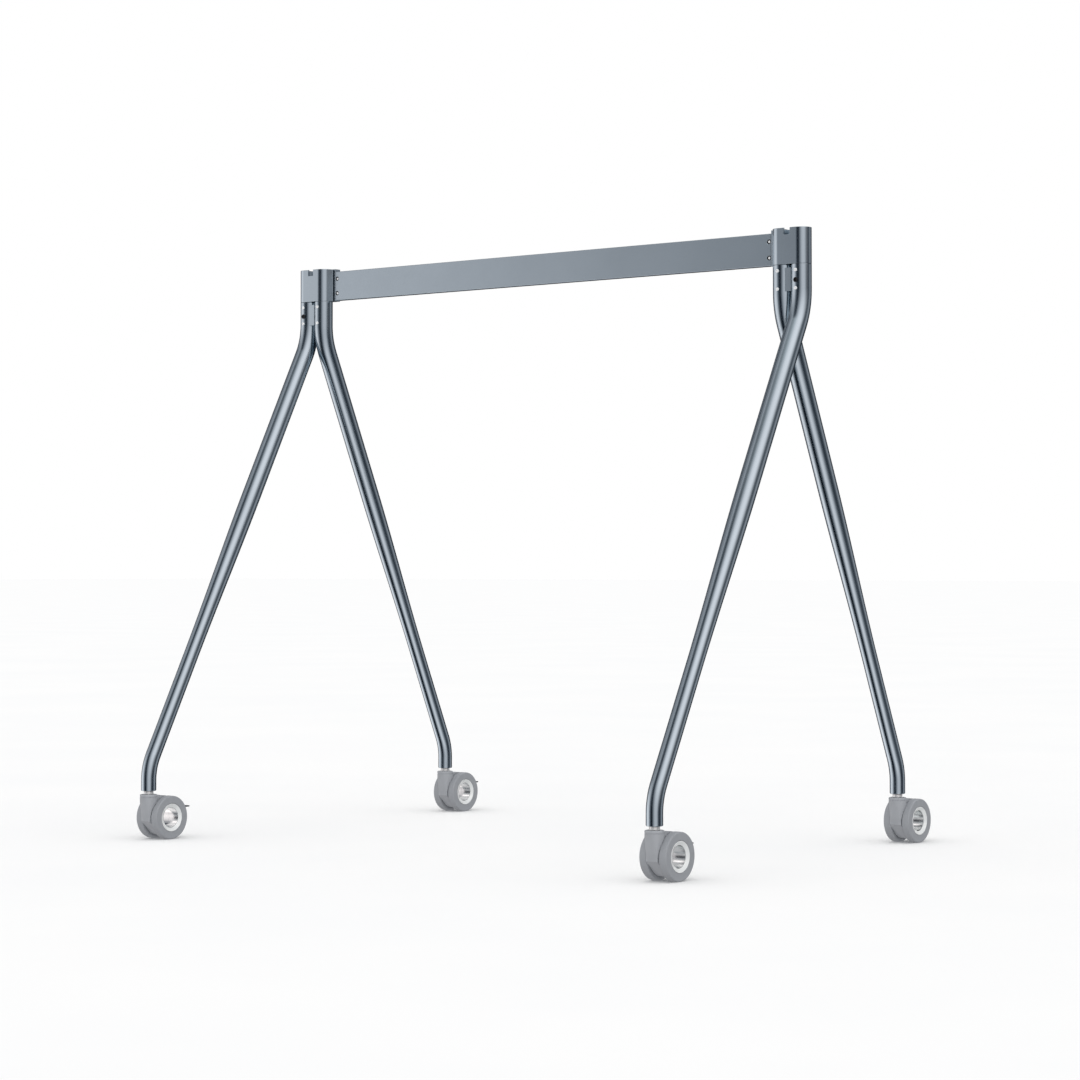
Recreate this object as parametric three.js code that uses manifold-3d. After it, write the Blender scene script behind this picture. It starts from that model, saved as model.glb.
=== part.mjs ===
// Rolling A-frame stand: two mirrored frames of bent, tapered round tube, joined at
// the top by a flat rectangular crossbar and standing on four twin-wheel swivel casters.
// Millimetres, +Z up, +X along the crossbar, -Y to the front. Origin on the floor, under
// the middle of the whole stand.

import * as THREE from 'three';
import { mergeVertices } from 'three/addons/utils/BufferGeometryUtils.js';
import Module from 'manifold-3d';

const wasm = await Module();
wasm.setup();

// ---------------------------------------------------------------- driving dimensions

const HEAD_X = 700;            // half the distance between the two head centres
const TUBE_STEP = 23.3;        // half the distance between the two tubes of a frame
const TUBE_R_TOP = 22.5;       // tube radius at the head
const TUBE_R_FOOT = 17.5;      // tube radius at the caster
const TUBE_WALL = 3;
const TAPER_FROM = 0.36;       // where along the inclined length the taper begins
const TAPER_TO = 0.76;         // and where it ends
const TUBE_TOP = 1282;
const UPPER_BEND = 1187.4;     // height where the two straight axes would cross
const LOWER_BEND = 167.8;
const TUBE_END = 112.7;
const UPPER_BEND_R = 165;
const LOWER_BEND_R = 125;
const FOOT_FRONT = -538.8;     // caster axes, measured from the plane of the heads
const FOOT_REAR = 463.6;

const HEAD_BOTTOM = 1282.3;
const HEAD_TOP = 1361.2;
const NOTCH_HALF = 7.75;
const NOTCH_DEPTH = 15;
const POCKET_HALF_X = 20;
const POCKET_HALF_Y = 18;
const POCKET_DEPTH = 40;
const SPIGOT_R = 18;
const SPIGOT_END = 1221.5;
const BOSS_U = 34.7;           // from the inner tube axis to the face that meets the bar

const BAR_FRONT = 4.5;
const BAR_BACK = 22.5;
const BAR_BOTTOM = 1284;
const BAR_TOP = 1354.6;
const BAR_WALL = 3;
const BAR_SCREW_IN = 5.8;      // screw axis from the end of the bar
const BAR_SCREW_Z = [1301.6, 1337];
const BAR_RECESS_R = 5.2;
const BAR_SCREW_R = 4.8;       // screw head with its cup washer

const LEG_SCREW_Z = [1228.8, 1268.3];
const PORT_Z = 1246.8;
const BLOCK_Z = [1224.1, 1274.9];
const BLOCK_FRONT = -17.3;

const WHEEL_R = 50;
const WHEEL_IN = 14.5;         // inner and outer faces, from the middle of the caster
const WHEEL_OUT = 33.6;
const TRAIL = 42.6;            // axle behind the swivel axis
const HUB_FLANGE_R = 32;
const HUB_TUBE_R = 25.7;
const HUB_BORE_R = 22.9;
const COLLAR_R = 20;
const COLLAR_TOP = 104.7;
const ARM_TOP = 102;            // plate between the wheels: at the collar,
const ARM_REAR = 100;          // and over the axle
const PLATE_R = 49.4;
const WELL_R = 51.2;
const NECK_HALF = 14;
const NECK_FRONT = -10;
const NECK_DISC_R = 41.5;
const STEM_R = 7;
const STEM_FLANGE_R = 11;
const PEDAL_PIVOT = [80, 67];  // y, z from the foot of the swivel axis
const PEDAL_TIP = 126.6;
const PEDAL_HALF = 6.2;

// the stand's middle, so that the origin is under the centre of its outer box
const Y_CENTRE = ((FOOT_FRONT - COLLAR_R) + (FOOT_REAR + PEDAL_TIP)) / 2;

// ---------------------------------------------------------------- helpers

function solid(geometry) {
  const g = geometry.index ? geometry.toNonIndexed() : geometry.clone();
  g.deleteAttribute('normal');
  g.deleteAttribute('uv');
  const merged = mergeVertices(g, 1e-4);
  const p = merged.attributes.position.array;
  const idx = merged.index.array;
  const tris = [];
  let volume = 0;
  for (let i = 0; i < idx.length; i += 3) {
    const [a, b, c] = [idx[i], idx[i + 1], idx[i + 2]];
    if (a === b || b === c || a === c) continue;
    tris.push(a, b, c);
    const [ax, ay, az] = [p[3 * a], p[3 * a + 1], p[3 * a + 2]];
    const [bx, by, bz] = [p[3 * b], p[3 * b + 1], p[3 * b + 2]];
    const [cx, cy, cz] = [p[3 * c], p[3 * c + 1], p[3 * c + 2]];
    volume += ax * (by * cz - bz * cy) - ay * (bx * cz - bz * cx) + az * (bx * cy - by * cx);
  }
  if (volume < 0) {
    for (let i = 0; i < tris.length; i += 3) [tris[i + 1], tris[i + 2]] = [tris[i + 2], tris[i + 1]];
  }
  return new wasm.Manifold(new wasm.Mesh({
    numProp: 3,
    vertProperties: new Float32Array(p),
    triVerts: new Uint32Array(tris),
  }));
}

function geometryOf(manifold) {
  const mesh = manifold.getMesh();
  const g = new THREE.BufferGeometry();
  g.setAttribute('position', new THREE.BufferAttribute(new Float32Array(mesh.vertProperties), 3));
  g.setIndex(new THREE.BufferAttribute(new Uint32Array(mesh.triVerts), 1));
  g.computeVertexNormals();
  return g;
}

function box(x0, x1, y0, y1, z0, z1) {
  const g = new THREE.BoxGeometry(x1 - x0, y1 - y0, z1 - z0);
  g.translate((x0 + x1) / 2, (y0 + y1) / 2, (z0 + z1) / 2);
  return solid(g);
}

function cylinderZ(x, y, z0, z1, r, n = 16, rTop = r) {
  const g = new THREE.CylinderGeometry(rTop, r, z1 - z0, n);
  g.rotateX(Math.PI / 2);
  g.translate(x, y, (z0 + z1) / 2);
  return solid(g);
}

function cylinderY(x, z, y0, y1, r, n = 12) {
  const g = new THREE.CylinderGeometry(r, r, y1 - y0, n);
  g.translate(x, (y0 + y1) / 2, z);
  return solid(g);
}

function cylinderX(y, z, x0, x1, r, n = 16) {
  const g = new THREE.CylinderGeometry(r, r, x1 - x0, n);
  g.rotateZ(-Math.PI / 2);
  g.translate((x0 + x1) / 2, y, z);
  return solid(g);
}

// a plan outline (x, y) carried up from z0 to z1
function prismZ(points, z0, z1) {
  const shape = new THREE.Shape(points.map(([x, y]) => new THREE.Vector2(x, y)));
  const g = new THREE.ExtrudeGeometry(shape, { depth: z1 - z0, bevelEnabled: false, steps: 1 });
  g.translate(0, 0, z0);
  return solid(g);
}

// a side outline (y, z) carried across from x0 to x1
function prismX(points, x0, x1) {
  const shape = new THREE.Shape(points.map(([y, z]) => new THREE.Vector2(y, z)));
  const g = new THREE.ExtrudeGeometry(shape, { depth: x1 - x0, bevelEnabled: false, steps: 1 });
  const m = new THREE.Matrix4().makeBasis(
    new THREE.Vector3(0, 1, 0), new THREE.Vector3(0, 0, 1), new THREE.Vector3(1, 0, 0));
  g.applyMatrix4(m);
  g.translate(x0, 0, 0);
  return solid(g);
}

// a closed profile of [x, radius] turned about the line y, z
function turnedX(profile, y, z, n) {
  const pts = profile.map(([x, r]) => new THREE.Vector2(r, x));
  pts.push(pts[0].clone());
  const g = new THREE.LatheGeometry(pts, n);
  g.rotateZ(-Math.PI / 2);
  g.translate(0, y, z);
  return solid(g);
}

function arc(cx, cy, r, a0, a1, n) {
  const out = [];
  for (let i = 0; i <= n; i++) {
    const a = THREE.MathUtils.degToRad(a0 + (a1 - a0) * i / n);
    out.push([cx + r * Math.cos(a), cy + r * Math.sin(a)]);
  }
  return out;
}

const paint = (name) => new THREE.MeshStandardMaterial({ name, color: 0x6f7b85, roughness: 0.38, metalness: 0.75 });
const chrome = (name) => new THREE.MeshStandardMaterial({ name, color: 0xd9dbdd, roughness: 0.12, metalness: 1 });
const greyPlastic = (name) => new THREE.MeshStandardMaterial({ name, color: 0x8b8f93, roughness: 0.55, metalness: 0 });
const greyTyre = (name) => new THREE.MeshStandardMaterial({ name, color: 0x84888c, roughness: 0.7, metalness: 0 });
const blackPlastic = (name) => new THREE.MeshStandardMaterial({ name, color: 0x0e0f11, roughness: 0.5, metalness: 0 });
const stemSteel = (name) => new THREE.MeshStandardMaterial({ name, color: 0xc4c5c6, roughness: 0.35, metalness: 0.9 });

function place(group, name, geometry, material) {
  const mesh = new THREE.Mesh(geometry, material(name));
  mesh.name = name;
  group.add(mesh);
  return mesh;
}

// ---------------------------------------------------------------- bent, tapered tube

// A path that is sampled at chosen stations: close together in the bends and the
// taper, far apart on the straights.
class StationPath extends THREE.Curve {
  constructor(stations) {
    super();
    this.stations = stations;
  }
  at(t, key) {
    const last = this.stations.length - 1;
    const i = Math.min(Math.floor(t * last + 1e-9), last - 1);
    const f = t * last - i;
    return this.stations[i][key].clone().lerp(this.stations[i + 1][key], f);
  }
  getPoint(t) { return this.at(t, 'point'); }
  getPointAt(t) { return this.at(t, 'point'); }
  getTangent(t) { return this.at(t, 'tangent').normalize(); }
  getTangentAt(t) { return this.at(t, 'tangent').normalize(); }
}

function legStations(footY) {
  const lean = Math.atan2(Math.abs(footY), UPPER_BEND - LOWER_BEND);
  const side = Math.sign(footY);
  const out = [];
  const add = (y, z, angle, radius) => out.push({
    point: new THREE.Vector3(0, y, z),
    tangent: new THREE.Vector3(0, side * Math.sin(angle), -Math.cos(angle)),
    radius,
  });
  const cutUp = UPPER_BEND_R * Math.tan(lean / 2);
  const cutLow = LOWER_BEND_R * Math.tan(lean / 2);
  const BEND_STEPS = 3;
  add(0, TUBE_TOP, 0, TUBE_R_TOP);
  for (let i = 0; i <= BEND_STEPS; i++) {
    const a = lean * i / BEND_STEPS;
    add(side * UPPER_BEND_R * (1 - Math.cos(a)), UPPER_BEND + cutUp - UPPER_BEND_R * Math.sin(a), a, TUBE_R_TOP);
  }
  const y0 = side * cutUp * Math.sin(lean);
  const z0 = UPPER_BEND - cutUp * Math.cos(lean);
  const y1 = footY - side * cutLow * Math.sin(lean);
  const z1 = LOWER_BEND + cutLow * Math.cos(lean);
  const TAPER_STEPS = 4;
  for (let i = 0; i <= TAPER_STEPS; i++) {
    const s = i / TAPER_STEPS;
    const f = TAPER_FROM + (TAPER_TO - TAPER_FROM) * s;
    const smooth = s * s * (3 - 2 * s);
    add(y0 + (y1 - y0) * f, z0 + (z1 - z0) * f, lean, TUBE_R_TOP + (TUBE_R_FOOT - TUBE_R_TOP) * smooth);
  }
  for (let i = BEND_STEPS; i >= 0; i--) {
    const a = lean * i / BEND_STEPS;
    add(footY - side * LOWER_BEND_R * (1 - Math.cos(a)), LOWER_BEND - cutLow + LOWER_BEND_R * Math.sin(a), a, TUBE_R_FOOT);
  }
  add(footY, TUBE_END, 0, TUBE_R_FOOT);
  return out;
}

function legTube(footY) {
  const stations = legStations(footY);
  const ring = (r, n) => Array.from({ length: n }, (_, i) => {
    const a = 2 * Math.PI * i / n;
    return new THREE.Vector2(r * Math.cos(a), r * Math.sin(a));
  });
  const rIn = TUBE_R_TOP - TUBE_WALL;
  const shape = new THREE.Shape(ring(TUBE_R_TOP, 16));
  shape.holes.push(new THREE.Path(ring(rIn, 10).reverse()));
  const g = new THREE.ExtrudeGeometry(shape, {
    steps: stations.length - 1, bevelEnabled: false, extrudePath: new StationPath(stations),
  });
  // taper: every point moves towards or away from the axis in its own cross-section
  const pos = g.attributes.position;
  const v = new THREE.Vector3();
  const d = new THREE.Vector3();
  for (let i = 0; i < pos.count; i++) {
    v.fromBufferAttribute(pos, i);
    let best = null;
    for (const s of stations) {
      d.subVectors(v, s.point);
      const along = Math.abs(d.dot(s.tangent));
      const off = d.length();
      if (off > TUBE_R_TOP + 0.1) continue;
      if (!best || along < best.along) best = { s, along };
    }
    d.subVectors(v, best.s.point);
    const outer = d.length() > (TUBE_R_TOP + rIn) / 2;
    const target = outer ? best.s.radius : best.s.radius - TUBE_WALL;
    d.multiplyScalar(target / (outer ? TUBE_R_TOP : rIn));
    pos.setXYZ(i, best.s.point.x + d.x, best.s.point.y + d.y, best.s.point.z + d.z);
  }
  return solid(g);
}

// ---------------------------------------------------------------- frame parts

// Everything on one side of the stand. side is -1 for the left frame, +1 for the right.
function buildSide(group, side) {
  const name = side < 0 ? 'left' : 'right';
  // u runs from the head's centre towards the crossbar
  const X = (u) => side * (HEAD_X - u);
  const outerX = X(-TUBE_STEP);
  const innerX = X(TUBE_STEP);

  // legs: outer tube to the front foot, inner tube to the rear foot
  const legs = [['front', outerX, FOOT_FRONT], ['rear', innerX, FOOT_REAR]];
  for (const [which, x, footY] of legs) {
    let leg = legTube(footY).translate([x, 0, 0]);
    for (const z of LEG_SCREW_Z) leg = leg.subtract(cylinderY(x, z, -30, -10, 2.7, 6));
    if (which === 'front') leg = leg.subtract(cylinderY(x, PORT_Z, -30, -10, 4.3, 8));
    place(group, `${name}_${which}_leg`, geometryOf(leg), paint);

    LEG_SCREW_Z.forEach((z, i) => {
      const screw = cylinderY(x, z, -25, -22.8, 3.8, 8).add(cylinderY(x, z, -22.9, -12, 2, 6));
      place(group, `${name}_${which}_leg_screw_${i ? 'upper' : 'lower'}`, geometryOf(screw), chrome);
    });
  }

  const plug = cylinderY(outerX, PORT_Z, -24.3, -22.8, 5.5, 12).add(cylinderY(outerX, PORT_Z, -22.9, -17.5, 3.6, 8));
  place(group, `${name}_port_plug`, geometryOf(plug), blackPlastic);

  // head: two columns joined front and back, with the boss that meets the crossbar
  const plan = [
    ...arc(-TUBE_STEP, 0, TUBE_R_TOP, 90, 270, 8),
    ...arc(TUBE_STEP, 0, TUBE_R_TOP, -90, -22, 3),
    [TUBE_STEP + 26.1, BAR_FRONT],
    [TUBE_STEP + BOSS_U, BAR_FRONT],
    [TUBE_STEP + BOSS_U, BAR_BACK],
  ].map(([u, y]) => [X(u), y]);
  let head = prismZ(plan, HEAD_BOTTOM, HEAD_TOP);
  for (const u of [-TUBE_STEP, TUBE_STEP]) {
    head = head.add(cylinderZ(X(u), 0, SPIGOT_END, HEAD_BOTTOM + 5, SPIGOT_R, 12));
  }
  // tongue that the hollow crossbar slides over
  const t0 = X(TUBE_STEP + BOSS_U - 1);
  const t1 = X(TUBE_STEP + BOSS_U + 28);
  const fit = BAR_WALL + 0.35;
  head = head.add(box(Math.min(t0, t1), Math.max(t0, t1), BAR_FRONT + fit, BAR_BACK - fit, BAR_BOTTOM + fit, BAR_TOP - fit));
  // pocket open to the top, and the notch in the front and the back plate
  head = head.subtract(box(X(0) - POCKET_HALF_X, X(0) + POCKET_HALF_X, -POCKET_HALF_Y, POCKET_HALF_Y, HEAD_TOP - POCKET_DEPTH, HEAD_TOP + 5));
  head = head.subtract(box(X(0) - NOTCH_HALF, X(0) + NOTCH_HALF, -30, 30, HEAD_TOP - NOTCH_DEPTH, HEAD_TOP + 5));
  // screw holes
  for (const x of [outerX, innerX]) {
    for (const z of LEG_SCREW_Z) head = head.subtract(cylinderY(x, z, -30, -11, 2.7, 6));
  }
  head = head.subtract(cylinderY(outerX, PORT_Z, -30, -16.9, 4.3, 8));
  const screwX = X(TUBE_STEP + BOSS_U + BAR_SCREW_IN);
  for (const z of BAR_SCREW_Z) head = head.subtract(cylinderY(screwX, z, 0, 17, 2.7, 6));
  place(group, `${name}_head`, geometryOf(head), paint);

  BAR_SCREW_Z.forEach((z, i) => {
    const seat = BAR_FRONT + fit;
    const screw = cylinderY(screwX, z, seat - 2.2, seat - 0.3, BAR_SCREW_R, 12).add(cylinderY(screwX, z, seat - 0.4, 16, 2, 6));
    place(group, `${name}_crossbar_screw_${i ? 'upper' : 'lower'}`, geometryOf(screw), chrome);
  });

  // bridge block that lies in the groove between the two tubes
  const reach = TUBE_R_TOP + 0.55;
  const halfAt = (y) => TUBE_STEP - Math.sqrt(reach * reach - y * y);
  const ys = [BLOCK_FRONT, -13, -9, -6];
  const outline = [
    ...ys.map((y) => [X(0) - halfAt(y), y]),
    ...ys.slice().reverse().map((y) => [X(0) + halfAt(y), y]),
  ];
  place(group, `${name}_bridge_block`, geometryOf(prismZ(outline, BLOCK_Z[0], BLOCK_Z[1])), paint);
}

function buildCrossbar(group) {
  const end = HEAD_X - TUBE_STEP - BOSS_U - 0.3;
  let bar = box(-end, end, BAR_FRONT, BAR_BACK, BAR_BOTTOM, BAR_TOP)
    .subtract(box(-end - 1, end + 1, BAR_FRONT + BAR_WALL, BAR_BACK - BAR_WALL, BAR_BOTTOM + BAR_WALL, BAR_TOP - BAR_WALL));
  const sx = HEAD_X - TUBE_STEP - BOSS_U - BAR_SCREW_IN;
  for (const x of [-sx, sx]) {
    // the recess breaks through the front wall only; it stays inside the bar's end
    for (const z of BAR_SCREW_Z) bar = bar.subtract(cylinderY(x, z, 0, BAR_FRONT + BAR_WALL + 1, BAR_RECESS_R, 12));
  }
  place(group, 'crossbar', geometryOf(bar), paint);
}

// ---------------------------------------------------------------- caster

// Built about the swivel axis, floor at z = 0, wheels trailing towards +Y.
function casterHousing() {
  // upper neck: round under the collar, squarer where it passes between the wheels
  const neckTop = 97;
  const neckLow = 43;
  const g = new THREE.CylinderGeometry(1, 1, neckTop - neckLow, 16, 2);
  g.rotateX(Math.PI / 2);
  g.translate(0, 0, (neckTop + neckLow) / 2);
  const pos = g.attributes.position;
  for (let i = 0; i < pos.count; i++) {
    const z = pos.getZ(i);
    const f = (neckTop - z) / (neckTop - neckLow);
    const len = Math.hypot(pos.getX(i), pos.getY(i));
    if (len < 1e-6) { pos.setXYZ(i, 0, 2 * f, z); continue; }
    const c = pos.getX(i) / len;
    const s = pos.getY(i) / len;
    const p = 2 + 3 * f;                       // superellipse power: 2 is a circle
    const k = 1 / Math.pow(Math.pow(Math.abs(c), p) + Math.pow(Math.abs(s), p), 1 / p);
    const rx = COLLAR_R + (NECK_HALF + 0.4 - COLLAR_R) * f;
    const ry = COLLAR_R + (12 - COLLAR_R) * f;
    pos.setXYZ(i, rx * k * c, 2 * f + ry * k * s, z);
  }
  let body = solid(g);

  // plate between the wheels
  const plateSide = [
    [NECK_FRONT, 90], [NECK_FRONT, 43],
    ...arc(TRAIL, WHEEL_R, NECK_DISC_R, 225, 360, 8),
    ...arc(TRAIL, WHEEL_R, PLATE_R, 0, 88, 8),
    [TRAIL, ARM_REAR], [18, ARM_TOP], [0, ARM_TOP - 2],
  ];
  body = body.add(prismX(plateSide, -NECK_HALF, NECK_HALF));

  // collar with its groove
  body = body.add(cylinderZ(0, 0, 96, 98, COLLAR_R, 20));
  body = body.add(cylinderZ(0, 0, 97.5, 99.5, COLLAR_R - 0.9, 20));
  body = body.add(cylinderZ(0, 0, 99, 103.5, COLLAR_R, 20));
  body = body.add(cylinderZ(0, 0, 103.4, COLLAR_TOP, COLLAR_R, 20, COLLAR_R - 1.4));

  // room for the wheels, the hub tubes and the stem
  for (const s of [-1, 1]) {
    const a = s * NECK_HALF;
    const b = s * 60;
    body = body.subtract(cylinderX(TRAIL, WHEEL_R, Math.min(a, b), Math.max(a, b), WELL_R, 32));
  }
  body = body.subtract(cylinderX(TRAIL, WHEEL_R, -40, 40, HUB_TUBE_R + 0.9, 20));
  body = body.subtract(cylinderZ(0, 0, 60, 120, STEM_R + 0.8, 12));
  // slot for the pedal, open to the back, and the hole for its pin
  body = body.subtract(box(-PEDAL_HALF - 0.5, PEDAL_HALF + 0.5, 73.5, 110, 58, 77));
  body = body.subtract(cylinderX(PEDAL_PIVOT[0], PEDAL_PIVOT[1], -20, 20, 2.4, 10));
  return body;
}

function casterWheel(side) {
  const profile = [
    [WHEEL_IN, HUB_TUBE_R + 0.7], [WHEEL_IN, WHEEL_R - 3], [WHEEL_IN + 2.4, WHEEL_R],
    [WHEEL_OUT - 2.8, WHEEL_R], [WHEEL_OUT, WHEEL_R - 3],
    [WHEEL_OUT, HUB_FLANGE_R + 0.7], [WHEEL_OUT - 4.4, HUB_FLANGE_R + 0.7], [WHEEL_OUT - 4.4, HUB_TUBE_R + 0.7],
  ];
  return turnedX(profile.map(([x, r]) => [side * x, r]), TRAIL, WHEEL_R, 24);
}

function casterHub(side) {
  const face = WHEEL_OUT - 0.2;
  const profile = [
    [0.2, HUB_BORE_R], [0.2, HUB_TUBE_R], [face - 3.8, HUB_TUBE_R], [face - 3.8, HUB_FLANGE_R],
    [face, HUB_FLANGE_R], [face, HUB_FLANGE_R - 1], [face - 4.4, HUB_BORE_R],
  ];
  return turnedX(profile.map(([x, r]) => [side * x, r]), TRAIL, WHEEL_R, 20);
}

function brakePedal() {
  const [py, pz] = PEDAL_PIVOT;
  const side = [
    ...arc(py, pz, 4.3, 50, 300, 6),
    [py + 9, 66.6], [py + 16, 68.2], [PEDAL_TIP - 2, 68.5], [PEDAL_TIP, 70], [PEDAL_TIP - 2, 71.5], [py + 12, 71.5],
  ];
  return prismX(side, -PEDAL_HALF, PEDAL_HALF).subtract(cylinderX(py, pz, -20, 20, 2.5, 10));
}

const housing = geometryOf(casterHousing());
const wheel = { left: geometryOf(casterWheel(-1)), right: geometryOf(casterWheel(1)) };
const hub = { left: geometryOf(casterHub(-1)), right: geometryOf(casterHub(1)) };
const pedal = geometryOf(brakePedal());
const pedalPin = geometryOf(cylinderX(PEDAL_PIVOT[0], PEDAL_PIVOT[1], -13.6, 13.6, 2, 10));
const stem = geometryOf(
  cylinderZ(0, 0, 62, 105.2, STEM_R, 12)
    .add(cylinderZ(0, 0, 105, TUBE_END - 0.3, STEM_FLANGE_R, 16))
    .add(cylinderZ(0, 0, TUBE_END - 0.5, 134, STEM_R, 12)));
const bush = geometryOf(
  cylinderZ(0, 0, TUBE_END + 0.3, 135, TUBE_R_FOOT - TUBE_WALL - 1.1, 12)
    .subtract(cylinderZ(0, 0, 100, 150, STEM_R + 0.7, 12)));

function buildCaster(parent, name, x, y) {
  const group = new THREE.Group();
  group.position.set(x, y, 0);
  parent.add(group);
  place(group, `${name}_caster_stem`, stem, stemSteel);
  place(group, `${name}_stem_bush`, bush, blackPlastic);
  place(group, `${name}_caster_housing`, housing, greyPlastic);
  for (const s of ['left', 'right']) {
    place(group, `${name}_caster_${s}_wheel`, wheel[s], greyTyre);
    place(group, `${name}_caster_${s}_hub`, hub[s], chrome);
  }
  place(group, `${name}_brake_pedal`, pedal, blackPlastic);
  place(group, `${name}_pedal_pin`, pedalPin, stemSteel);
}

// ---------------------------------------------------------------- assembly

const stand = new THREE.Group();
const aboutHeads = new THREE.Group();
aboutHeads.position.set(0, -Y_CENTRE, 0);
stand.add(aboutHeads);

buildCrossbar(aboutHeads);
buildSide(aboutHeads, -1);
buildSide(aboutHeads, 1);
buildCaster(aboutHeads, 'left_front', -(HEAD_X + TUBE_STEP), FOOT_FRONT);
buildCaster(aboutHeads, 'left_rear', -(HEAD_X - TUBE_STEP), FOOT_REAR);
buildCaster(aboutHeads, 'right_front', HEAD_X + TUBE_STEP, FOOT_FRONT);
buildCaster(aboutHeads, 'right_rear', HEAD_X - TUBE_STEP, FOOT_REAR);

export default stand;
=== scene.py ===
import math

import bmesh
import bpy
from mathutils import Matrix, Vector


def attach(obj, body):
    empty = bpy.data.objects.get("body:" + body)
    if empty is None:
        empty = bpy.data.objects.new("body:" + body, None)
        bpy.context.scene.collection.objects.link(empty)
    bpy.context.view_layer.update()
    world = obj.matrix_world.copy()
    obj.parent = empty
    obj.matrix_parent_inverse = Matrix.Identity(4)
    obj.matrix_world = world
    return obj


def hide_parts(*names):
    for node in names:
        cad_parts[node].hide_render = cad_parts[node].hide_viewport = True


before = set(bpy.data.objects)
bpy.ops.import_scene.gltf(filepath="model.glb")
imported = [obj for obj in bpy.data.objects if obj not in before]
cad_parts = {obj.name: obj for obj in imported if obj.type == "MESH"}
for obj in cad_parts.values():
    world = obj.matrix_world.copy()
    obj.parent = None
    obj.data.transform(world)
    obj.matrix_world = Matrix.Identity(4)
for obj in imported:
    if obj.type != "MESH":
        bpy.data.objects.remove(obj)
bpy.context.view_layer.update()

# ------------------------------------------------------------------ dimensions (mm, as in the CAD)

HEAD_X, TUBE_STEP = 700, 23.3
R_TOP, R_FOOT, TUBE_WALL = 22.5, 17.5, 3
TAPER_FROM, TAPER_TO = 0.36, 0.76
TUBE_TOP, UPPER_BEND, LOWER_BEND, TUBE_END = 1282, 1187.4, 167.8, 112.7
UPPER_BEND_R, LOWER_BEND_R = 165, 125
FOOT_FRONT, FOOT_REAR = -538.8, 463.6

HEAD_BOTTOM, HEAD_TOP = 1282.3, 1361.2
NOTCH_HALF, NOTCH_DEPTH = 7.75, 15
POCKET_HALF_X, POCKET_HALF_Y, POCKET_DEPTH = 20, 18, 40
SPIGOT_R, SPIGOT_END = 18, 1221.5
BOSS_U = 34.7

BAR_FRONT, BAR_BACK, BAR_BOTTOM, BAR_TOP, BAR_WALL = 4.5, 22.5, 1284, 1354.6, 3
BAR_SCREW_IN, BAR_SCREW_Z, BAR_RECESS_R, BAR_SCREW_R = 5.8, (1301.6, 1337), 5.2, 4.8

LEG_SCREW_Z, PORT_Z = (1228.8, 1268.3), 1246.8
BLOCK_Z, BLOCK_FRONT = (1224.1, 1274.9), -17.3

WHEEL_R, WHEEL_IN, WHEEL_OUT, TRAIL = 50, 14.5, 33.6, 42.6
HUB_FLANGE_R, HUB_TUBE_R, HUB_BORE_R = 32, 25.7, 22.9
COLLAR_R, COLLAR_TOP, ARM_TOP, ARM_REAR, PLATE_R, WELL_R = 20, 104.7, 102, 100, 49.4, 51.2
NECK_HALF, NECK_FRONT, NECK_DISC_R = 14, -10, 41.5
STEM_R, STEM_FLANGE_R = 7, 11
PIVOT_Y, PIVOT_Z, PEDAL_TIP, PEDAL_HALF = 80, 67, 126.6, 6.2

Y_CENTRE = ((FOOT_FRONT - COLLAR_R) + (FOOT_REAR + PEDAL_TIP)) / 2
MM = 0.001

CASTERS = {
    "left_front": (-(HEAD_X + TUBE_STEP), FOOT_FRONT),
    "left_rear": (-(HEAD_X - TUBE_STEP), FOOT_REAR),
    "right_front": (HEAD_X + TUBE_STEP, FOOT_FRONT),
    "right_rear": (HEAD_X - TUBE_STEP, FOOT_REAR),
}

# ------------------------------------------------------------------ mesh helpers

def make(name, verts, faces, shift=(0, 0, 0)):
    """A new object from points in mm; shift moves its origin only in place, in mm."""
    me = bpy.data.meshes.new(name)
    me.from_pydata([(x * MM, y * MM, z * MM) for x, y, z in verts], [], faces)
    me.update()
    ob = bpy.data.objects.new(name, me)
    bpy.context.scene.collection.objects.link(ob)
    tidy(ob)
    ob.location = [c * MM for c in shift]
    return ob


def tidy(ob):
    bm = bmesh.new()
    bm.from_mesh(ob.data)
    bmesh.ops.remove_doubles(bm, verts=bm.verts, dist=1e-7)
    bmesh.ops.dissolve_degenerate(bm, dist=1e-7, edges=bm.edges)
    bmesh.ops.recalc_face_normals(bm, faces=bm.faces)
    bm.to_mesh(ob.data)
    bm.free()


def bake(ob):
    dg = bpy.context.evaluated_depsgraph_get()
    me = bpy.data.meshes.new_from_object(ob.evaluated_get(dg), preserve_all_data_layers=True, depsgraph=dg)
    old = ob.data
    ob.modifiers.clear()
    ob.data = me
    bpy.data.meshes.remove(old)


def boolean(ob, other, operation):
    m = ob.modifiers.new("cut", "BOOLEAN")
    m.operation, m.object, m.solver = operation, other, "EXACT"
    bake(ob)
    data = other.data
    bpy.data.objects.remove(other)
    bpy.data.meshes.remove(data)
    return ob


def cut(ob, *others):
    for o in others:
        boolean(ob, o, "DIFFERENCE")
    return ob


def join(ob, *others):
    for o in others:
        boolean(ob, o, "UNION")
    return ob


def loft(name, rings, wrap=False, shift=(0, 0, 0)):
    """Quads between rings of equal length. wrap joins the last ring to the first; otherwise the ends are capped."""
    n = len(rings[0])
    verts = [p for r in rings for p in r]
    faces = []
    last = len(rings) if wrap else len(rings) - 1
    for i in range(last):
        a, b = i * n, ((i + 1) % len(rings)) * n
        for j in range(n):
            k = (j + 1) % n
            faces.append((a + j, a + k, b + k, b + j))
    if not wrap:
        faces.append(tuple(range(n))[::-1])
        faces.append(tuple(range((len(rings) - 1) * n, len(rings) * n)))
    return make(name, verts, faces, shift)


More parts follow.
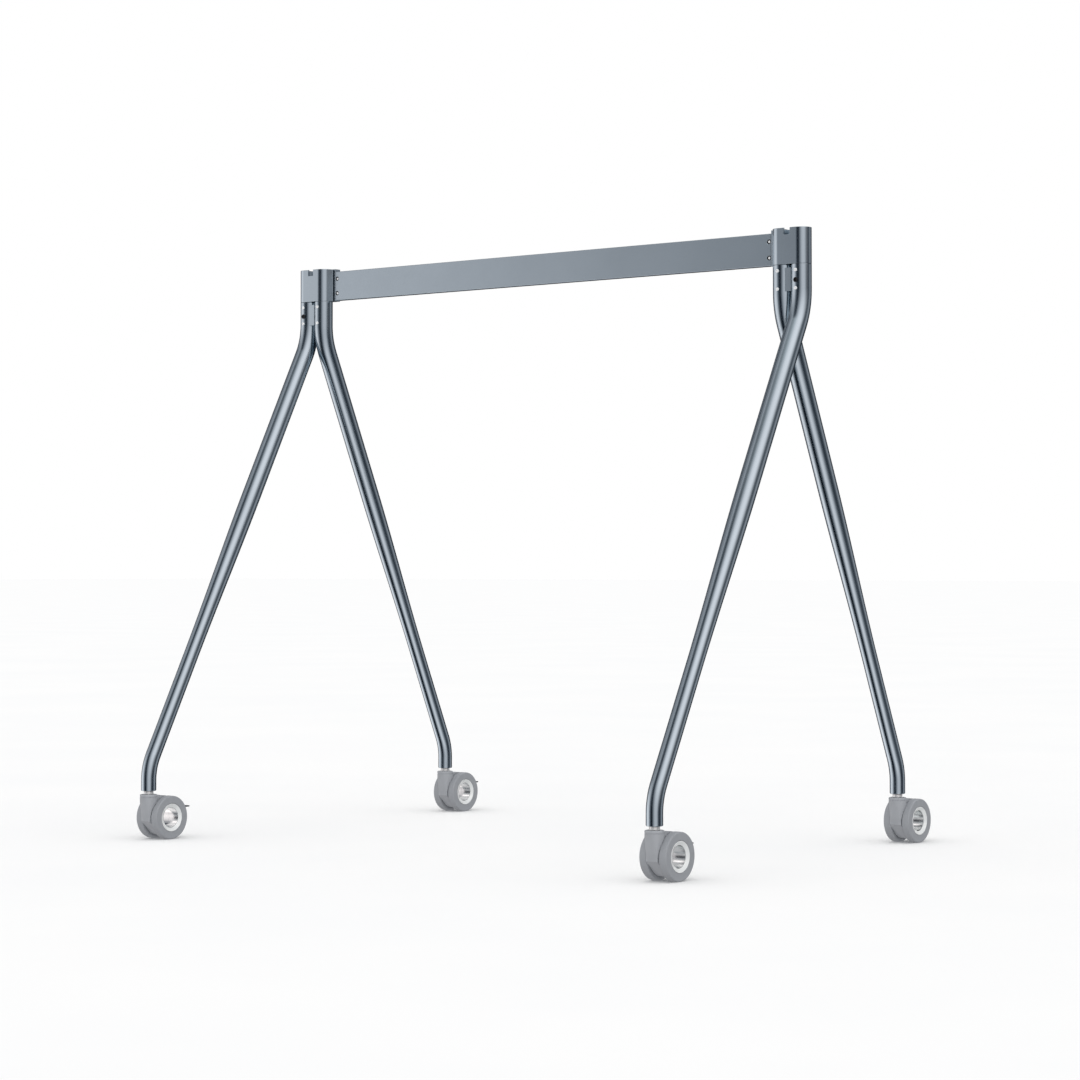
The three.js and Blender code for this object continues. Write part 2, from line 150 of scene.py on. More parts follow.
def turned(name, axis, centre, profile, n=96, shift=(0, 0, 0)):
    """A closed profile of (along, radius) turned about an axis through centre."""
    rings = []
    for along, r in profile:
        ring = []
        for j in range(n):
            a = 2 * math.pi * j / n
            c, s = r * math.cos(a), r * math.sin(a)
            if axis == "X":
                ring.append((along, centre[0] + c, centre[1] + s))
            elif axis == "Y":
                ring.append((centre[0] + c, along, centre[1] + s))
            else:
                ring.append((centre[0] + c, centre[1] + s, along))
        rings.append(ring)
    return loft(name, rings, wrap=True, shift=shift)


def rod(name, axis, centre, lo, hi, r, n=48):
    return turned(name, axis, centre, [(lo, 0), (lo, r), (hi, r), (hi, 0)], n)


def prism(name, axis, outline, lo, hi, shift=(0, 0, 0)):
    if axis == "Z":
        rings = [[(x, y, z) for x, y in outline] for z in (lo, hi)]
    else:
        rings = [[(x, y, z) for y, z in outline] for x in (lo, hi)]
    return loft(name, rings, shift=shift)


def block(name, x0, x1, y0, y1, z0, z1):
    return prism(name, "Z", [(x0, y0), (x1, y0), (x1, y1), (x0, y1)], z0, z1)


def arc(cx, cy, r, a0, a1, n):
    return [(cx + r * math.cos(math.radians(a0 + (a1 - a0) * i / n)),
             cy + r * math.sin(math.radians(a0 + (a1 - a0) * i / n))) for i in range(n + 1)]


def fillet(points, radii, steps=5):
    """Rounds the corners of a closed outline; radii gives each corner's radius in turn."""
    out = []
    n = len(points)
    for i, p in enumerate(points):
        r = radii[i] if isinstance(radii, (list, tuple)) else radii
        if r <= 0:
            out.append(tuple(p))
            continue
        a, b, c = Vector(points[i - 1]), Vector(p), Vector(points[(i + 1) % n])
        u, v = (a - b), (c - b)
        ang = u.angle(v)
        cutoff = min(r / math.tan(ang / 2), u.length * 0.49, v.length * 0.49)
        rr = cutoff * math.tan(ang / 2)
        u.normalize(), v.normalize()
        start, end = b + u * cutoff, b + v * cutoff
        mid = b + (u + v).normalized() * (rr / math.sin(ang / 2))
        s, e = start - mid, end - mid
        turn = s.angle(e)
        sign = 1 if s.x * e.y - s.y * e.x > 0 else -1
        base = math.atan2(s.y, s.x)
        for k in range(steps + 1):
            t = base + sign * turn * k / steps
            out.append((mid.x + rr * math.cos(t), mid.y + rr * math.sin(t)))
    return out


def soften(ob, width, segments=3, angle=32):
    m = ob.modifiers.new("edge", "BEVEL")
    m.width, m.segments, m.limit_method, m.angle_limit = width * MM, segments, "ANGLE", math.radians(angle)
    m.use_clamp_overlap = True
    m.miter_outer = "MITER_ARC"
    bake(ob)
    tidy(ob)
    return ob


def shade(ob, angle=38):
    me = ob.data
    me.shade_smooth()
    me.set_sharp_from_angle(angle=math.radians(angle))
    m = ob.modifiers.new("normals", "WEIGHTED_NORMAL")
    m.keep_sharp, m.weight = True, 100
    return ob


def place(ob, node, body, material, angle=38):
    shade(ob, angle)
    if material is not None:
        ob.data.materials.clear()
        ob.data.materials.append(material)
    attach(ob, body)
    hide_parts(node)
    return ob


# ------------------------------------------------------------------ materials

def lin(c):
    c /= 255
    return c / 12.92 if c <= 0.04045 else ((c + 0.055) / 1.055) ** 2.4


def rgb(r, g, b):
    return (lin(r), lin(g), lin(b), 1)


class Graph:
    def __init__(self, name):
        self.mat = bpy.data.materials.new(name)
        self.mat.use_nodes = True
        self.t = self.mat.node_tree
        self.t.nodes.clear()
        self.out = self.t.nodes.new("ShaderNodeOutputMaterial")
        self.bsdf = self.t.nodes.new("ShaderNodeBsdfPrincipled")
        self.t.links.new(self.bsdf.outputs[0], self.out.inputs[0])
        self.coord = self.t.nodes.new("ShaderNodeTexCoord").outputs["Object"]

    def node(self, kind, **values):
        n = self.t.nodes.new(kind)
        for k, v in values.items():
            if k in n.inputs:
                n.inputs[k].default_value = v
            else:
                setattr(n, k, v)
        return n

    def link(self, a, b):
        self.t.links.new(a, b)

    def stretched(self, scale):
        m = self.node("ShaderNodeMapping")
        m.inputs["Scale"].default_value = scale
        self.link(self.coord, m.inputs["Vector"])
        return m.outputs[0]

    def noise(self, scale, detail=2.0, rough=0.5, vector=None):
        n = self.node("ShaderNodeTexNoise", Scale=scale, Detail=detail, Roughness=rough)
        self.link(vector or self.coord, n.inputs["Vector"])
        return n.outputs["Fac"]

    def ramp(self, fac, stops):
        r = self.node("ShaderNodeValToRGB")
        e = r.color_ramp.elements
        e[0].position, e[0].color = stops[0]
        e[1].position, e[1].color = stops[-1]
        for pos, col in stops[1:-1]:
            x = e.new(pos)
            x.color = col
        self.link(fac, r.inputs[0])
        return r.outputs[0]

    def spread(self, fac, lo, hi, low=0.3, high=0.7):
        m = self.node("ShaderNodeMapRange")
        m.inputs[1].default_value, m.inputs[2].default_value = low, high
        m.inputs[3].default_value, m.inputs[4].default_value = lo, hi
        self.link(fac, m.inputs[0])
        return m.outputs[0]

    def add(self, a, b, wa=1.0, wb=1.0):
        m1 = self.node("ShaderNodeMath", operation="MULTIPLY")
        m1.inputs[1].default_value = wa
        self.link(a, m1.inputs[0])
        m2 = self.node("ShaderNodeMath", operation="MULTIPLY_ADD")
        m2.inputs[1].default_value = wb
        self.link(b, m2.inputs[0])
        self.link(m1.outputs[0], m2.inputs[2])
        return m2.outputs[0]

    def bump(self, height, strength, distance):
        b = self.node("ShaderNodeBump")
        b.inputs["Strength"].default_value = strength
        b.inputs["Distance"].default_value = distance
        self.link(height, b.inputs["Height"])
        self.link(b.outputs[0], self.bsdf.inputs["Normal"])

    def sockets(self, **values):
        for k, v in values.items():
            self.bsdf.inputs[k.replace("_", " ")].default_value = v

    def colour(self, output):
        self.link(output, self.bsdf.inputs["Base Color"])

    def roughness(self, output):
        self.link(output, self.bsdf.inputs["Roughness"])


PAINT = (0.42, 0.50, 0.555)


def painted(name, gain=1.0, rough=(0.145, 0.185)):
    # metallic powder coat: fine flake, faint orange peel, a slow drift in tone
    g = Graph(name)
    drift = g.noise(7, 3, 0.55)
    flake = g.noise(2600, 1, 0.6)
    tone = g.add(drift, flake, 0.7, 0.3)
    c = [x * gain for x in PAINT]
    g.colour(g.ramp(tone, [(0.34, (c[0] * 0.965, c[1] * 0.968, c[2] * 0.97, 1)),
                           (0.66, (c[0] * 1.03, c[1] * 1.03, c[2] * 1.03, 1))]))
    g.roughness(g.spread(g.add(g.noise(40, 4, 0.6), flake, 0.75, 0.25), rough[0], rough[1]))
    peel = g.add(g.noise(420, 2, 0.5), flake, 0.8, 0.2)
    g.bump(peel, 0.035, 0.0001)
    g.sockets(Metallic=1.0, Coat_Weight=0.10, Coat_Roughness=0.18, Coat_IOR=1.45)
    return g.mat


def moulded(name, low, high, rough=(0.46, 0.58), grain=1500, depth=0.00012, strength=0.28, specular=0.4):
    g = Graph(name)
    fine = g.noise(grain, 2, 0.6)
    slow = g.noise(28, 3, 0.5)
    g.colour(g.ramp(g.add(slow, fine, 0.6, 0.4), [(0.36, low), (0.64, high)]))
    g.roughness(g.spread(g.add(fine, slow, 0.5, 0.5), rough[0], rough[1]))
    g.bump(fine, strength, depth)
    g.sockets(Metallic=0.0, Specular_IOR_Level=specular)
    return g.mat


def rubber(name, low, high):
    # wheel: smooth moulded tread with very faint running marks round the circumference
    g = Graph(name)
    marks = g.noise(1.0, 3, 0.55, g.stretched((1400, 70, 70)))
    fine = g.noise(1700, 2, 0.6)
    g.colour(g.ramp(g.add(marks, fine, 0.55, 0.45), [(0.36, low), (0.64, high)]))
    g.roughness(g.spread(marks, 0.52, 0.66))
    g.bump(g.add(marks, fine, 0.5, 0.5), 0.2, 0.0001)
    g.sockets(Metallic=0.0, Specular_IOR_Level=0.35)
    return g.mat


def turned_metal(name, low, high, rough, centre=None, axis="X", pitch=2600, strength=0.06, metallic=1.0, bore=None):
    # bright turned metal: fine concentric tool marks
    g = Graph(name)
    sep = g.node("ShaderNodeSeparateXYZ")
    g.link(g.coord, sep.inputs[0])
    if centre is not None:
        a, b = ("Y", "Z") if axis == "X" else (("X", "Z") if axis == "Y" else ("X", "Y"))
        com = g.node("ShaderNodeCombineXYZ")
        for k, (ax, off) in enumerate(((a, centre[0]), (b, centre[1]))):
            m = g.node("ShaderNodeMath", operation="SUBTRACT")
            m.inputs[1].default_value = off * MM
            g.link(sep.outputs[ax], m.inputs[0])
            g.link(m.outputs[0], com.inputs[k])
        length = g.node("ShaderNodeVectorMath", operation="LENGTH")
        g.link(com.outputs[0], length.inputs[0])
        radius = length.outputs["Value"]
        add = g.node("ShaderNodeMath", operation="ADD")
        g.link(radius, add.inputs[0])
        g.link(sep.outputs[axis], add.inputs[1])
        along = add.outputs[0]
    else:
        along = sep.outputs[axis]
    m = g.node("ShaderNodeMath", operation="MULTIPLY")
    m.inputs[1].default_value = pitch
    g.link(along, m.inputs[0])
    ring = g.node("ShaderNodeTexNoise", noise_dimensions="1D", Scale=1.0, Detail=3.0, Roughness=0.6)
    g.link(m.outputs[0], ring.inputs["W"])
    lines = ring.outputs["Fac"]
    cloud = g.noise(60, 3, 0.5)
    g.colour(g.ramp(g.add(lines, cloud, 0.5, 0.5), [(0.35, low), (0.65, high)]))
    g.roughness(g.spread(g.add(lines, cloud, 0.6, 0.4), rough[0], rough[1]))
    g.bump(lines, strength, 0.00006)
    if bore is None:
        g.sockets(Metallic=metallic)
    else:                                    # polished inside the bore; outside it the near-white is made almost non-metallic, a painted bright reflection on the chamfer ring
        g.link(g.spread(radius, metallic, 0.12, (bore + 0.2) * MM, (bore + 0.8) * MM), g.bsdf.inputs["Metallic"])
    return g.mat


frame_paint = painted("frame_paint")
bar_paint = painted("bar_paint", rough=(0.17, 0.21))
caster_grey = moulded("caster_grey", rgb(158, 161, 166), rgb(167, 170, 175))
tyre_grey = rubber("tyre_grey", rgb(148, 151, 156), rgb(157, 160, 165))
black_plastic = moulded("black_plastic", rgb(20, 22, 25), rgb(34, 36, 39), rough=(0.35, 0.5))
pedal_grey = moulded("pedal_grey", rgb(58, 62, 67), rgb(74, 78, 83), rough=(0.4, 0.5))
chrome_screw = turned_metal("chrome_screw", rgb(248, 250, 251), rgb(253, 254, 254), (0.18, 0.26), None, "Y", 4000, metallic=0.22)
# the hub's chamfer ring outside the bore carries a painted bright reflection: near-white, almost non-metallic
polished_hub = turned_metal("polished_hub", rgb(238, 241, 241), rgb(248, 250, 250), (0.12, 0.20), (TRAIL, WHEEL_R), "X", 2300, metallic=1.0, bore=HUB_BORE_R)
stem_steel = turned_metal("stem_steel", rgb(222, 222, 222), rgb(238, 238, 238), (0.30, 0.40), None, "Z", 3000, 0.1, metallic=0.45)

# ------------------------------------------------------------------ frame: legs

def smooth(s):
    return s * s * (3 - 2 * s)


def leg_path(foot_y):
    lean = math.atan2(abs(foot_y), UPPER_BEND - LOWER_BEND)
    side = 1 if foot_y > 0 else -1
    up, low = UPPER_BEND_R * math.tan(lean / 2), LOWER_BEND_R * math.tan(lean / 2)
    out = []

    def add(y, z, a, r):
        out.append((y, z, side * math.sin(a), -math.cos(a), r))

    add(0, TUBE_TOP - 1.2, 0, R_TOP)
    add(0, (TUBE_TOP + UPPER_BEND + up) / 2, 0, R_TOP)
    for i in range(15):
        a = lean * i / 14
        add(side * UPPER_BEND_R * (1 - math.cos(a)), UPPER_BEND + up - UPPER_BEND_R * math.sin(a), a, R_TOP)
    y0, z0 = side * up * math.sin(lean), UPPER_BEND - up * math.cos(lean)
    y1, z1 = foot_y - side * low * math.sin(lean), LOWER_BEND + low * math.cos(lean)
    for i in range(25):
        f = TAPER_FROM + (TAPER_TO - TAPER_FROM) * i / 24
        add(y0 + (y1 - y0) * f, z0 + (z1 - z0) * f, lean, R_TOP + (R_FOOT - R_TOP) * smooth(i / 24))
    for i in range(14, -1, -1):
        a = lean * i / 14
        add(foot_y - side * LOWER_BEND_R * (1 - math.cos(a)), LOWER_BEND - low + LOWER_BEND_R * math.sin(a), a, R_FOOT)
    add(foot_y, TUBE_END + 12, 0, R_FOOT)
    return out


def leg(name, x, foot_y):
    path = leg_path(foot_y)

    def ring(y, z, ty, tz, r):
        # across the tube: X, and the direction square to X and to the path
        return [(x + r * math.cos(a), y + r * math.sin(a) * tz, z - r * math.sin(a) * ty)
                for a in (2 * math.pi * j / 64 for j in range(64))]

    rings = [ring(0, TUBE_TOP, 0, -1, R_TOP - 0.8), ring(0, TUBE_TOP - 0.35, 0, -1, R_TOP - 0.25)]
    rings += [ring(*p) for p in path]
    for k in range(7):                       # rounded lower lip
        a = math.pi / 2 * k / 6
        rings.append(ring(foot_y, TUBE_END + 2.2 - 2.2 * math.sin(a), 0, -1, R_FOOT - 2.2 + 2.2 * math.cos(a)))
    rings.append(ring(foot_y, TUBE_END + 0.6, 0, -1, R_FOOT - TUBE_WALL))
    rings += [ring(y, z, ty, tz, r - TUBE_WALL) for y, z, ty, tz, r in reversed(path)]
    rings.append(ring(0, TUBE_TOP, 0, -1, R_TOP - TUBE_WALL))
    return loft(name, rings, wrap=True)


def button_screw(name, x, z, seat, top, r, tail):
    """Round-headed screw with a hexagon socket, its head towards -Y."""
    h = seat - top
    head = [(seat, 0), (seat, r - 0.15), (seat - 0.2, r), (seat - h * 0.45, r * 0.985)]
    head += [(seat - h * 0.45 - h * 0.55 * math.sin(math.pi / 2 * k / 7),
              r * 0.985 * (0.45 + 0.55 * math.cos(math.pi / 2 * k / 7))) for k in range(1, 8)]
    head += [(top, 0)]
    ob = turned(name, "Y", (x, z), head, 40)
    hexagon = loft(name + "_hex", [[(x + 1.5 * math.cos(math.radians(60 * j)), y, z + 1.5 * math.sin(math.radians(60 * j)))
                                   for j in range(6)] for y in (top - 1, top + h * 0.62)])
    cut(ob, hexagon)
    join(ob, turned(name + "_shank", "Y", (x, z), [(seat - 0.2, 0), (seat - 0.2, 2), (tail - 0.5, 2), (tail, 1.5), (tail, 0)], 24))
    return ob


def build_side(side):
    name = "left" if side < 0 else "right"

    def X(u):
        return side * (HEAD_X - u)

    outer, inner = X(-TUBE_STEP), X(TUBE_STEP)
    yc = -Y_CENTRE
    for which, x, foot in (("front", outer, FOOT_FRONT), ("rear", inner, FOOT_REAR)):
        ob = leg(f"{name}_{which}_leg_tube", x, foot)
        for z in LEG_SCREW_Z:
            cut(ob, rod("hole", "Y", (x, z), -30, -10, 2.7, 32))
        if which == "front":
            cut(ob, rod("hole", "Y", (x, PORT_Z), -30, -10, 4.3, 40))
        ob.location.y = yc * MM
        place(ob, f"{name}_{which}_leg", "frame", frame_paint)
        for z, tag in zip(LEG_SCREW_Z, ("lower", "upper")):
            s = button_screw(f"{name}_{which}_leg_screw_{tag}_head", x, z, -22.8, -25, 3.8, -12)
            s.location.y = yc * MM
            place(s, f"{name}_{which}_leg_screw_{tag}", "frame", chrome_screw, 30)

    plug = turned(f"{name}_port_plug_socket", "Y", (outer, PORT_Z), [
        (-22.8, 0), (-22.8, 5.2), (-23.1, 5.5), (-23.8, 5.5), (-24.15, 5.35), (-24.3, 5.0),
        (-24.3, 3.4), (-24.1, 3.1), (-23.2, 2.9), (-20.4, 2.9), (-20.2, 2.7), (-20.2, 0.9), (-21.6, 0.9), (-21.9, 0.6), (-21.9, 0)], 56)
    join(plug, turned("shank", "Y", (outer, PORT_Z), [(-22.9, 0), (-22.9, 3.6), (-17.9, 3.6), (-17.5, 3.2), (-17.5, 0)], 40))
    cut(plug, turned("bore", "Y", (outer, PORT_Z), [(-23, 1.1), (-23, 2.9), (-20.3, 2.9), (-20.3, 1.1)], 40))
    plug.location.y = yc * MM
    place(plug, f"{name}_port_plug", "frame", black_plastic, 30)

    # head: two columns, the plates that join them and the boss towards the bar
    plan = arc(-TUBE_STEP, 0, R_TOP, 90, 270, 44) + arc(TUBE_STEP, 0, R_TOP, -90, -22, 16)
    plan += [(TUBE_STEP + 26.1, BAR_FRONT), (TUBE_STEP + BOSS_U, BAR_FRONT), (TUBE_STEP + BOSS_U, BAR_BACK)]
    plan = [(X(u), y) for u, y in plan]
    head = prism(f"{name}_head_casting", "Z", plan, HEAD_BOTTOM, HEAD_TOP)
    cx = X(0)
    cut(head, block("pocket", cx - POCKET_HALF_X, cx + POCKET_HALF_X, -POCKET_HALF_Y, POCKET_HALF_Y, HEAD_TOP - POCKET_DEPTH, HEAD_TOP + 5))
    cut(head, block("notch", cx - NOTCH_HALF, cx + NOTCH_HALF, -30, 30, HEAD_TOP - NOTCH_DEPTH, HEAD_TOP + 5))
    soften(head, 0.7, 3)
    for u in (-TUBE_STEP, TUBE_STEP):
        join(head, turned("spigot", "Z", (X(u), 0), [(SPIGOT_END, 0), (SPIGOT_END, SPIGOT_R - 1), (SPIGOT_END + 1, SPIGOT_R),
                                                     (HEAD_BOTTOM + 6, SPIGOT_R), (HEAD_BOTTOM + 6, 0)], 64))
    t0, t1 = sorted((X(TUBE_STEP + BOSS_U - 1.5), X(TUBE_STEP + BOSS_U + 28)))
    fit = BAR_WALL + 0.35
    join(head, block("tongue", t0, t1, BAR_FRONT + fit, BAR_BACK - fit, BAR_BOTTOM + fit, BAR_TOP - fit))
    for x in (outer, inner):
        for z in LEG_SCREW_Z:
            cut(head, rod("hole", "Y", (x, z), -30, -11, 2.7, 32))
    cut(head, rod("hole", "Y", (outer, PORT_Z), -30, -16.9, 4.3, 40))
    sx = X(TUBE_STEP + BOSS_U + BAR_SCREW_IN)
    for z in BAR_SCREW_Z:
        cut(head, rod("hole", "Y", (sx, z), 0, 17, 2.7, 32))
    tidy(head)
    head.location.y = yc * MM
    place(head, f"{name}_head", "frame", frame_paint, 30)

    seat = BAR_FRONT + fit
    for z, tag in zip(BAR_SCREW_Z, ("lower", "upper")):
        s = button_screw(f"{name}_crossbar_screw_{tag}_head", sx, z, seat - 0.9, seat - 2.2, 2.9, 16)
        # a black cup round the screw head, a dark piece that stands in as painted shade of the deep counterbore
        shade_cup = turned("shade_cup", "Y", (sx, z), [(seat - 0.3, 2.2), (seat - 0.3, BAR_SCREW_R - 0.3), (seat - 0.6, BAR_SCREW_R), (seat - 1.5, BAR_SCREW_R),
                                          (seat - 1.8, BAR_SCREW_R - 0.3), (seat - 1.8, BAR_SCREW_R - 0.7), (seat - 1.0, 3.3), (seat - 1.0, 2.2)], 48)
        s.data.materials.append(chrome_screw)
        shade_cup.data.materials.append(black_plastic)
        join(s, shade_cup)
        if len(s.data.materials) < 2:
            s.data.materials.append(black_plastic)
        for f in s.data.polygons:            # bright centre, black cup round it: the black cup is painted shade of the deep counterbore round the head
            f.material_index = int(math.hypot(f.center.x - sx * MM, f.center.z - z * MM) > 3.0 * MM)
        s.location.y = yc * MM
        place(s, f"{name}_crossbar_screw_{tag}", "frame", None, 30)

    # bridge block in the groove between the two tubes
    reach = R_TOP + 0.55
    ys = [BLOCK_FRONT + (-6 - BLOCK_FRONT) * k / 12 for k in range(13)]
    half = [TUBE_STEP - math.sqrt(reach * reach - y * y) for y in ys]
    outline = [(cx - h, y) for h, y in zip(half, ys)] + [(cx + h, y) for h, y in reversed(list(zip(half, ys)))]
    blk = prism(f"{name}_bridge_block_form", "Z", outline, BLOCK_Z[0], BLOCK_Z[1])
    soften(blk, 0.8, 3)
    blk.location.y = yc * MM
    place(blk, f"{name}_bridge_block", "frame", frame_paint, 30)


def build_crossbar():
    end = HEAD_X - TUBE_STEP - BOSS_U - 0.3
    outer = [(BAR_FRONT, BAR_BOTTOM), (BAR_BACK, BAR_BOTTOM), (BAR_BACK, BAR_TOP), (BAR_FRONT, BAR_TOP)]
    w = BAR_WALL
    inner = [(BAR_FRONT + w, BAR_BOTTOM + w), (BAR_BACK - w, BAR_BOTTOM + w), (BAR_BACK - w, BAR_TOP - w), (BAR_FRONT + w, BAR_TOP - w)]
    out, inn = fillet(outer, 1.3, 4), fillet(inner, 0.6, 4)
    shrink = [(y + (0.3 if y < 13.5 else -0.3), z + (0.3 if z < 1319 else -0.3)) for y, z in out]
    rings = []
    for s in (-1, 1):
        order = [(shrink, end), (out, end - 0.3)] if s > 0 else [(out, end - 0.3), (shrink, end)]
        for shape, x in (order if s > 0 else order[::-1]):
            rings.append([(s * x, y, z) for y, z in shape])
    # rings so far: -end (shrink), -end+, +end-, +end (shrink); the inside comes back
    rings = [rings[0], rings[1]] + [[(x, y, z) for _, y, z in rings[1]] for x in (-420, -210, 0, 210, 420)] + [
        [(end - 0.3, y, z) for _, y, z in rings[1]], [(end, y, z) for _, y, z in rings[0]]]
    rings += [[(end, y, z) for y, z in inn], [(-end, y, z) for y, z in inn]]
    bar = loft("crossbar_section", rings, wrap=True)
    sx = HEAD_X - TUBE_STEP - BOSS_U - BAR_SCREW_IN
    for x in (-sx, sx):
        for z in BAR_SCREW_Z:
            cut(bar, turned("recess", "Y", (x, z), [(0, 0), (0, BAR_RECESS_R + 0.35), (BAR_FRONT, BAR_RECESS_R + 0.35), (BAR_FRONT + 0.35, BAR_RECESS_R),
                                                    (BAR_FRONT + BAR_WALL + 1, BAR_RECESS_R), (BAR_FRONT + BAR_WALL + 1, 0)], 56))
    tidy(bar)
    bar.location.y = -Y_CENTRE * MM
    place(bar, "crossbar", "frame", bar_paint, 30)


# ------------------------------------------------------------------ casters

def caster_housing():
    top, low = 97, 43
    rings = []
    for k in range(19):
        f = k / 18
        z = low + (top - low) * f
        f = 1 - f
        p = 2 + 3 * f
        rx, ry = COLLAR_R + (NECK_HALF + 0.4 - COLLAR_R) * f, COLLAR_R + (12 - COLLAR_R) * f
        ring = []
        for j in range(72):
            a = 2 * math.pi * j / 72
            c, s = math.cos(a), math.sin(a)
            q = 1 / (abs(c) ** p + abs(s) ** p) ** (1 / p)
            ring.append((rx * q * c, 2 * f + ry * q * s, z))
        rings.append(ring)
    body = loft("caster_housing", rings)

    plate = [(NECK_FRONT, 90), (NECK_FRONT, 43)] + arc(TRAIL, WHEEL_R, NECK_DISC_R, 225, 360, 44)
    plate += arc(TRAIL, WHEEL_R, PLATE_R, 0, 88, 40) + [(TRAIL, ARM_REAR), (18, ARM_TOP), (0, ARM_TOP - 2)]
    join(body, prism("plate", "X", plate, -NECK_HALF, NECK_HALF))
    for s in (-1, 1):
        a, b = sorted((s * NECK_HALF, s * 60))
        cut(body, rod("well", "X", (TRAIL, WHEEL_R), a, b, WELL_R, 128))
    cut(body, rod("hub", "X", (TRAIL, WHEEL_R), -40, 40, HUB_TUBE_R + 0.9, 96))
    cut(body, block("slot", -PEDAL_HALF - 0.5, PEDAL_HALF + 0.5, 73.5, 110, 58, 77))
    cut(body, rod("pin", "X", (PIVOT_Y, PIVOT_Z), -20, 20, 2.4, 32))
    soften(body, 0.55, 2, 34)
    # collar: groove, then a chamfered rim
    join(body, turned("collar", "Z", (0, 0), [(95, 0), (95, COLLAR_R - 0.5), (97.6, COLLAR_R), (98, COLLAR_R - 0.2), (98.2, COLLAR_R - 0.9), (99.2, COLLAR_R - 0.9),
                                              (99.4, COLLAR_R - 0.2), (99.8, COLLAR_R), (103.1, COLLAR_R), (103.9, COLLAR_R - 0.35),
                                              (104.5, COLLAR_R - 1.1), (COLLAR_TOP, COLLAR_R - 1.9), (COLLAR_TOP, 0)], 96))
    cut(body, rod("stem", "Z", (0, 0), 60, 120, STEM_R + 0.8, 56))
    tidy(body)
    return body


def caster_wheel(side):
    r = WHEEL_R
    profile = [(WHEEL_IN, HUB_TUBE_R + 0.7), (WHEEL_IN, 39), (WHEEL_IN + 0.8, 40), (WHEEL_IN + 0.8, 43), (WHEEL_IN, 44), (WHEEL_IN, r - 3)]
    profile += [(x, y) for x, y in arc(WHEEL_IN + 3, r - 3, 3, 180, 90, 8)][1:]
    profile += [(x, y) for x, y in arc(WHEEL_OUT - 3, r - 3, 3, 90, 0, 9)]
    profile += [(WHEEL_OUT, HUB_FLANGE_R + 1.3), (WHEEL_OUT - 0.6, HUB_FLANGE_R + 0.7), (WHEEL_OUT - 4.4, HUB_FLANGE_R + 0.7), (WHEEL_OUT - 4.4, HUB_TUBE_R + 0.7)]
    return turned(f"caster_{'left' if side < 0 else 'right'}_wheel", "X", (TRAIL, WHEEL_R), [(side * x, y) for x, y in profile], 128)


def caster_hub(side):
    face = WHEEL_OUT - 0.2
    profile = [(0.2, HUB_BORE_R), (0.2, HUB_TUBE_R), (face - 3.8, HUB_TUBE_R), (face - 3.8, HUB_FLANGE_R), (face - 0.4, HUB_FLANGE_R),
               (face, HUB_FLANGE_R - 0.4), (face, HUB_FLANGE_R - 0.9), (face - 0.25, HUB_FLANGE_R - 1.35), (face - 4.1, HUB_BORE_R + 0.35),
               (face - 4.7, HUB_BORE_R)]
    return turned(f"caster_{'left' if side < 0 else 'right'}_hub", "X", (TRAIL, WHEEL_R), [(side * x, y) for x, y in profile], 128)


def brake_pedal():
    py, pz = PIVOT_Y, PIVOT_Z
    lever = arc(py, pz, 4.3, 50, 300, 24)
    tail = fillet([(py + 9, 66.6), (py + 16, 68.2), (PEDAL_TIP - 2, 68.5), (PEDAL_TIP, 70), (PEDAL_TIP - 2, 71.5), (py + 12, 71.5)], [3, 4, 1, 1, 1, 3], 4)
    ob = prism("brake_pedal", "X", lever + tail, -PEDAL_HALF, PEDAL_HALF)
    cut(ob, rod("pin", "X", (py, pz), -20, 20, 2.5, 32))
    for k in range(3):                       # tread ribs pressed into the top
        y = PEDAL_TIP - 7 - 4 * k
        cut(ob, block("rib", -PEDAL_HALF + 1.2, PEDAL_HALF - 1.2, y - 0.6, y + 0.6, 70.9, 74))
    soften(ob, 0.35, 2, 34)
    return ob


def copies(source, nodes, body_of, material, suffix, angle=32):
    """One object for each caster, all sharing the source's mesh."""
    shade(source, angle)
    source.data.materials.clear()
    source.data.materials.append(material)
    for i, (c, (x, y)) in enumerate(CASTERS.items()):
        ob = source if i == 0 else source.copy()
        if i:
            bpy.context.scene.collection.objects.link(ob)
        ob.name = f"{nodes.format(c)}{suffix}"
        ob.location = (x * MM, (y - Y_CENTRE) * MM, 0)
        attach(ob, body_of.format(c))
        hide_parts(nodes.format(c))


build_crossbar()
build_side(-1)
build_side(1)

copies(caster_housing(), "{}_caster_housing", "{}_swivel", caster_grey, "_shell")
for side, tag in ((-1, "left"), (1, "right")):
    copies(caster_wheel(side), "{}_caster_" + tag + "_wheel", "{}_" + tag + "_wheel", tyre_grey, "_tread")
    copies(caster_hub(side), "{}_caster_" + tag + "_hub", "{}_swivel", polished_hub, "_ring")
copies(brake_pedal(), "{}_brake_pedal", "{}_pedal", pedal_grey, "_lever")
copies(turned("pin", "X", (PIVOT_Y, PIVOT_Z), [(-13.6, 0), (-13.6, 1.7), (-13.3, 2), (13.3, 2), (13.6, 1.7), (13.6, 0)], 32),
       "{}_pedal_pin", "{}_swivel", stem_steel, "_shaft")
copies(turned("stem", "Z", (0, 0), [
    (62, 0), (62, STEM_R - 0.8), (62.8, STEM_R), (105, STEM_R), (105, STEM_FLANGE_R - 0.6), (105.6, STEM_FLANGE_R), (TUBE_END - 1.0, STEM_FLANGE_R),
    (TUBE_END - 0.3, STEM_FLANGE_R - 0.7), (TUBE_END - 0.3, STEM_R), (133, STEM_R), (134, STEM_R - 1), (134, 0)], 72),
    "{}_caster_stem", "frame", stem_steel, "_spindle")
bush_r = R_FOOT - TUBE_WALL - 1.1
copies(turned("bush", "Z", (0, 0), [
    (TUBE_END + 0.3, STEM_R + 0.7), (TUBE_END + 0.3, bush_r - 0.6), (TUBE_END + 0.9, bush_r), (134.4, bush_r), (135, bush_r - 0.6), (135, STEM_R + 0.7)], 64),
    "{}_stem_bush", "frame", black_plastic, "_sleeve")

# ------------------------------------------------------------------ camera

